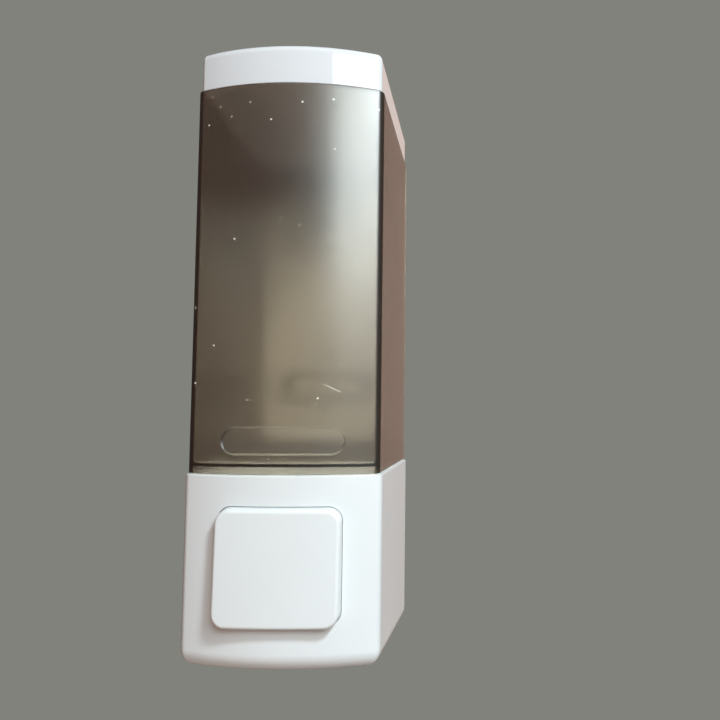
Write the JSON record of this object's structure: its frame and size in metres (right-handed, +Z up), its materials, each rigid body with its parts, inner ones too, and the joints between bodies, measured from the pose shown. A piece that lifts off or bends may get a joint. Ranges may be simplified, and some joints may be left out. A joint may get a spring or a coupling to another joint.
{
  "type": "wall mounted soap dispenser",
  "caption": "Wall mounted liquid soap dispenser with a smoked refillable tank, lift-off lid and a front push button that works a piston pump and spout.",
  "frame": {"origin": "centre of the wall bracket's back face, on the wall plane", "axes": "+Z up, +Y into the wall (the bracket's back face looks along +Y), +X to the right seen from the front; the front faces -Y"},
  "size_m": [0.0718, 0.0904, 0.2331],
  "materials": {
    "white_shell": "smooth moulded, satin gloss",
    "smoked_tank": "smoked translucent with a fine satin texture",
    "pump_plastic": "plain moulded",
    "grey_plastic": "plain moulded",
    "silicone": "matte translucent",
    "steel": "drawn and polished stainless"
  },
  "bodies": {
    "bracket": {"wall_bracket": "white_shell"},
    "dispenser": {"tank": "smoked_tank", "base_housing": "white_shell", "rear_cover": "white_shell", "pump_body": "pump_plastic", "pump_gland": "grey_plastic", "tank_locknut": "pump_plastic", "nozzle": "pump_plastic", "inlet_seat": "grey_plastic", "outlet_gasket": "silicone", "outlet_spring": "steel", "return_spring": "steel", "cover_screw_1": "steel", "cover_screw_2": "steel", "cover_screw_3": "steel", "cover_screw_4": "steel", "pump_screw_1": "steel", "pump_screw_2": "steel"},
    "lid": {"lid": "white_shell"},
    "button": {"push_button": "white_shell", "piston": "pump_plastic", "piston_seal": "silicone"},
    "inlet_valve": {"inlet_ball": "steel"},
    "outlet_valve": {"outlet_ball": "steel"}
  },
  "joints": [
    {"name": "body_lift", "type": "slide", "parent": "bracket", "child": "dispenser", "axis": [0, 0, 1], "range_m": [0, 0.0085]},
    {"name": "lid_lift", "type": "slide", "parent": "dispenser", "child": "lid", "axis": [0, 0, 1], "range_m": [0, 0.012]},
    {"name": "button_press", "type": "slide", "parent": "dispenser", "child": "button", "axis": [0, 1, 0], "range_m": [0, 0.005], "stiffness_N_per_m": 350, "springref_m": -0.004, "deforming": ["return_spring"]},
    {"name": "inlet_check", "type": "slide", "parent": "dispenser", "child": "inlet_valve", "axis": [0, 0, 1], "range_m": [0, 0.0015]},
    {"name": "outlet_check", "type": "slide", "parent": "dispenser", "child": "outlet_valve", "axis": [0, 0, -1], "range_m": [0, 0.0012], "stiffness_N_per_m": 300, "springref_m": -0.001, "deforming": ["outlet_spring"]}
  ]
}
